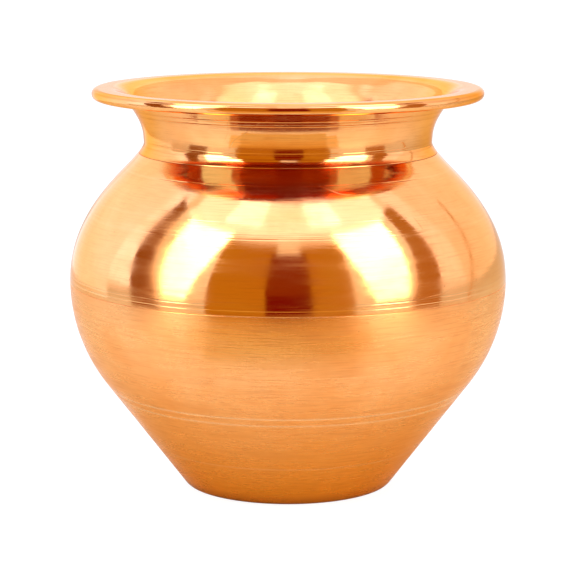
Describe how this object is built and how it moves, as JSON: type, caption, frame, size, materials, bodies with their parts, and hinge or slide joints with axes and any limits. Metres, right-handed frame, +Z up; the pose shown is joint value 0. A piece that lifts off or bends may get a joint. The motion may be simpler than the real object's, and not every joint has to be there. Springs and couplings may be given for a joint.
{
  "type": "kalash pot",
  "caption": "Round-bellied copper kalash water pot with flat base, narrow throat, flared wired lip and lap-joined spun shells.",
  "frame": {"origin": "centre of the flat base, on the surface the pot stands on", "axes": "+Z up along the axis of revolution; -Y is the front; the pot is the same all round"},
  "size_m": [0.12, 0.12, 0.1098],
  "materials": {
    "lower_bowl": "spun copper, brushed in rings",
    "shoulder": "spun copper, brushed and burnished",
    "neck_collar": "spun copper, burnished",
    "rim_wire": "drawn copper wire, unpolished",
    "braze": "brazing brass, as cast"
  },
  "bodies": {
    "root": {"lower_bowl": "lower_bowl", "shoulder": "shoulder", "neck_collar": "neck_collar", "rim_wire": "rim_wire", "belly_braze": "braze", "neck_braze": "braze"}
  },
  "joints": []
}
